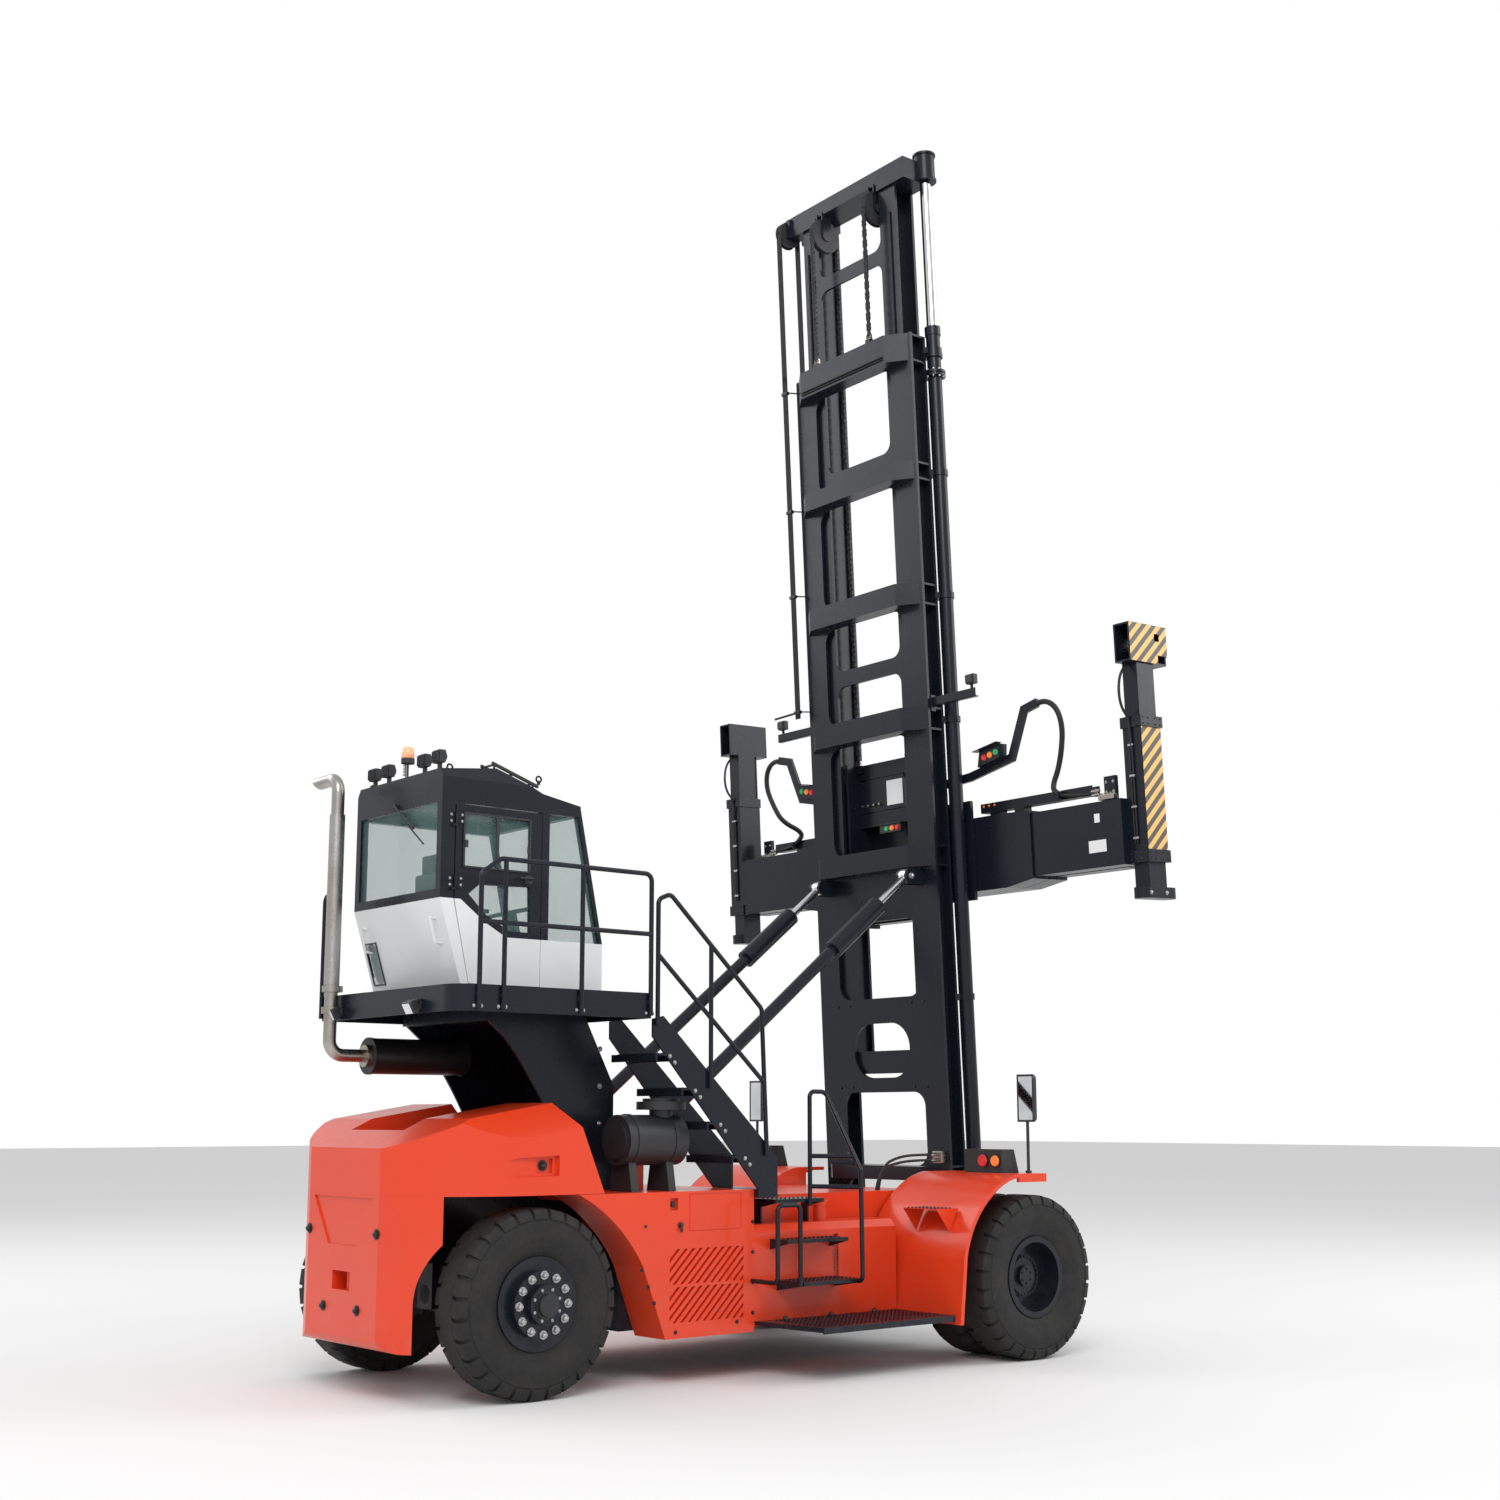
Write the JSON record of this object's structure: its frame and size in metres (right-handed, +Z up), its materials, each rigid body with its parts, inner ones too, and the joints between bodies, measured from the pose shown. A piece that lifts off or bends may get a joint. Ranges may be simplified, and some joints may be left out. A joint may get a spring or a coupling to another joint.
{
  "type": "empty container handler",
  "caption": "Lift truck for empty containers with a two-stage mast, telescopic side spreader, raised cab and rear counterweight.",
  "frame": {"origin": "on the ground, in the middle of the machine's length, on its centre line", "axes": "+X towards the mast, +Y to the machine's left, +Z up"},
  "size_m": [6.6634, 5.86, 11.6812],
  "materials": {
    "black_paint": "satin",
    "black_plastic": "matt",
    "cast_grey": "matt",
    "chrome": "polished",
    "glass": "tinted",
    "orange_paint": "gloss",
    "seat_fabric": "woven",
    "steel": "satin",
    "tyre": "matt",
    "white_paint": "gloss"
  },
  "bodies": {
    "chassis": {"frame": "black_paint", "drive_axle": "cast_grey", "steer_axle": "cast_grey", "counterweight_upper": "orange_paint", "counterweight_lower": "orange_paint", "side_bodies": "orange_paint", "tanks": "orange_paint", "hull": "orange_paint", "fenders": "orange_paint", "engine": "cast_grey", "boarding_steps": "black_paint", "boarding_rails": "black_paint", "tower": "black_paint", "platform": "black_paint", "platform_railing": "black_paint", "stairs": "black_paint", "stair_railing": "black_paint", "cab_lower": "white_paint", "cab_frame": "black_paint", "cab_roof": "black_paint", "cab_glass": "glass", "seat": "seat_fabric", "console": "black_plastic", "exhaust": "steel", "air_cleaner": "black_plastic", "mirrors": "black_plastic", "lamp_boxes": "black_plastic", "roof_lamps": "black_plastic"},
    "door": {"door_lower": "white_paint", "door_frame": "black_paint", "door_glass": "glass"},
    "knuckle_left": {"knuckle_left": "cast_grey"},
    "knuckle_right": {"knuckle_right": "cast_grey"},
    "rear_wheel_left": {"wheel_rear_left": "black_paint", "tyre_rear_left": "tyre"},
    "rear_wheel_right": {"wheel_rear_right": "black_paint", "tyre_rear_right": "tyre"},
    "front_wheels_left": {"wheels_front_left": "black_paint", "tyres_front_left": "tyre"},
    "front_wheels_right": {"wheels_front_right": "black_paint", "tyres_front_right": "tyre"},
    "mast_outer": {"outer_mast": "black_paint", "lift_barrels": "black_paint"},
    "mast_inner": {"inner_mast": "black_paint", "lift_rods": "chrome", "chain_wheels": "cast_grey", "lift_chains": "cast_grey", "mast_hoses": "black_plastic"},
    "carriage": {"carriage": "black_paint"},
    "spreader": {"spreader_frame": "black_paint"},
    "beam_left": {"beam_left": "black_paint"},
    "beam_right": {"beam_right": "black_paint"},
    "leg_left": {"leg_left": "black_paint"},
    "leg_right": {"leg_right": "black_paint"},
    "tilt_barrel_left": {"tilt_barrel_left": "black_paint"},
    "tilt_barrel_right": {"tilt_barrel_right": "black_paint"},
    "tilt_rod_left": {"tilt_rod_left": "chrome"},
    "tilt_rod_right": {"tilt_rod_right": "chrome"}
  },
  "joints": [
    {"name": "steer_left", "type": "hinge", "parent": "chassis", "child": "knuckle_left", "pos_m": [-2.36181, 0.88, 0.7], "axis": [0, 0, 1], "range_deg": [-50, 50]},
    {"name": "roll_rear_left", "type": "hinge", "parent": "knuckle_left", "child": "rear_wheel_left", "pos_m": [-2.36181, 1.09, 0.7], "axis": [0, 1, 0], "continuous": true},
    {"name": "roll_front_left", "type": "hinge", "parent": "chassis", "child": "front_wheels_left", "pos_m": [2.28819, 1.64, 0.7], "axis": [0, 1, 0], "continuous": true},
    {"name": "steer_right", "type": "hinge", "parent": "chassis", "child": "knuckle_right", "pos_m": [-2.36181, -0.88, 0.7], "axis": [0, 0, 1], "range_deg": [-50, 50]},
    {"name": "roll_rear_right", "type": "hinge", "parent": "knuckle_right", "child": "rear_wheel_right", "pos_m": [-2.36181, -1.09, 0.7], "axis": [0, 1, 0], "continuous": true},
    {"name": "roll_front_right", "type": "hinge", "parent": "chassis", "child": "front_wheels_right", "pos_m": [2.28819, -1.64, 0.7], "axis": [0, 1, 0], "continuous": true},
    {"name": "door_hinge", "type": "hinge", "parent": "chassis", "child": "door", "pos_m": [-2.83581, -0.702, 3.8], "axis": [0, 0, 1], "range_deg": [-50, 0]},
    {"name": "mast_tilt", "type": "hinge", "parent": "chassis", "child": "mast_outer", "pos_m": [2.63819, 0, 0.62], "axis": [0, 1, 0], "range_deg": [-2.34, 5.66]},
    {"name": "tilt_swing_left", "type": "hinge", "parent": "chassis", "child": "tilt_barrel_left", "pos_m": [-1.06181, 0.62, 1.79], "axis": [0, 1, 0], "range_deg": [-1.15, 2.72]},
    {"name": "tilt_stroke_left", "type": "slide", "parent": "tilt_barrel_left", "child": "tilt_rod_left", "axis": [0.7826, 0, 0.6226], "range_m": [-0.13215, 0.31682]},
    {"name": "tilt_swing_right", "type": "hinge", "parent": "chassis", "child": "tilt_barrel_right", "pos_m": [-1.06181, -0.62, 1.79], "axis": [0, 1, 0], "range_deg": [-1.15, 2.72]},
    {"name": "tilt_stroke_right", "type": "slide", "parent": "tilt_barrel_right", "child": "tilt_rod_right", "axis": [0.7826, 0, 0.6226], "range_m": [-0.13215, 0.31682]},
    {"name": "mast_lift", "type": "slide", "parent": "mast_outer", "child": "mast_inner", "axis": [-0.0464, 0, 0.9989], "range_m": [-1.2, 4.9], "deforming": ["lift_chains"]},
    {"name": "carriage_lift", "type": "slide", "parent": "mast_inner", "child": "carriage", "axis": [-0.0464, 0, 0.9989], "range_m": [-1.2, 4.9], "deforming": ["lift_chains"]},
    {"name": "side_shift", "type": "slide", "parent": "carriage", "child": "spreader", "axis": [0, 1, 0], "range_m": [-0.25, 0.25]},
    {"name": "extend_left", "type": "slide", "parent": "spreader", "child": "beam_left", "axis": [0, 1, 0], "range_m": [0, 3]},
    {"name": "extend_right", "type": "slide", "parent": "spreader", "child": "beam_right", "axis": [0, -1, 0], "range_m": [0, 3]},
    {"name": "leg_drop_left", "type": "slide", "parent": "beam_left", "child": "leg_left", "axis": [0.0464, 0, -0.9989], "range_m": [0, 0.45]},
    {"name": "leg_drop_right", "type": "slide", "parent": "beam_right", "child": "leg_right", "axis": [0.0464, 0, -0.9989], "range_m": [0, 0.45]}
  ],
  "couplings": [
    {"joint": "steer_right", "follows": "steer_left", "ratio": 1},
    {"joint": "tilt_swing_left", "follows": "mast_tilt", "ratio": 0.47157},
    {"joint": "tilt_swing_right", "follows": "mast_tilt", "ratio": 0.47157},
    {"joint": "tilt_stroke_left", "follows": "mast_tilt", "m_per_rad": 3.1869},
    {"joint": "tilt_stroke_right", "follows": "mast_tilt", "m_per_rad": 3.1869},
    {"joint": "carriage_lift", "follows": "mast_lift", "ratio": 1},
    {"joint": "extend_right", "follows": "extend_left", "ratio": 1},
    {"joint": "leg_drop_right", "follows": "leg_drop_left", "ratio": 1}
  ]
}
